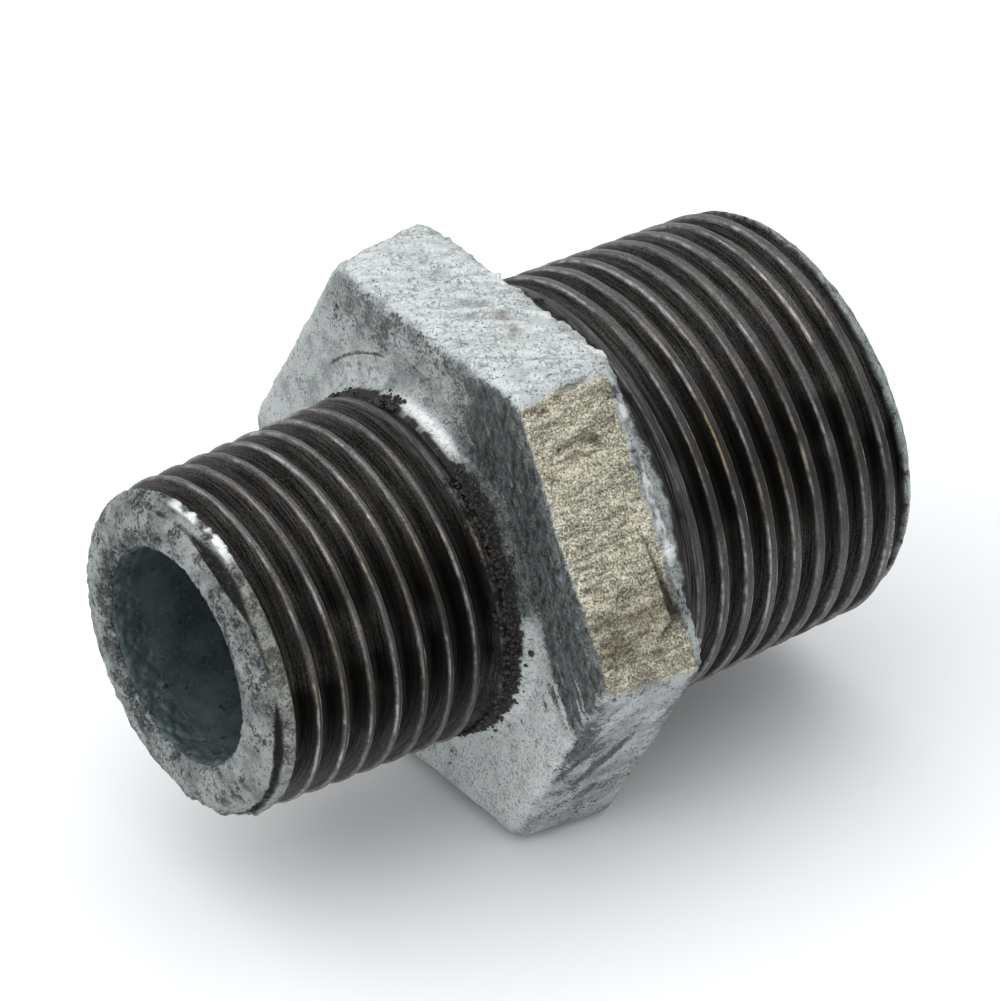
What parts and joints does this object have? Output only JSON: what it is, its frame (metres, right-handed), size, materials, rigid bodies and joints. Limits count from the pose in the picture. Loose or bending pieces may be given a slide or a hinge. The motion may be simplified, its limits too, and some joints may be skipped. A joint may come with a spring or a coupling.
{
  "type": "concentric reducer",
  "caption": "Straight reducing nipple with a cast hexagon between a small and a large external taper pipe thread and a bore right through.",
  "frame": {"origin": "on the bore axis, at the middle of the hexagon's thickness", "axes": "+X along the bore from the small end to the large end; +Z square to the bore through a hexagon flat; the part lies on the opposite flat"},
  "size_m": [0.0454, 0.037, 0.0326],
  "materials": {
    "galvanised_iron": "hot-dip zinc, dull and mottled, with bare dark cut threads"
  },
  "bodies": {
    "root": {"reducing_nipple": "galvanised_iron"}
  },
  "joints": []
}
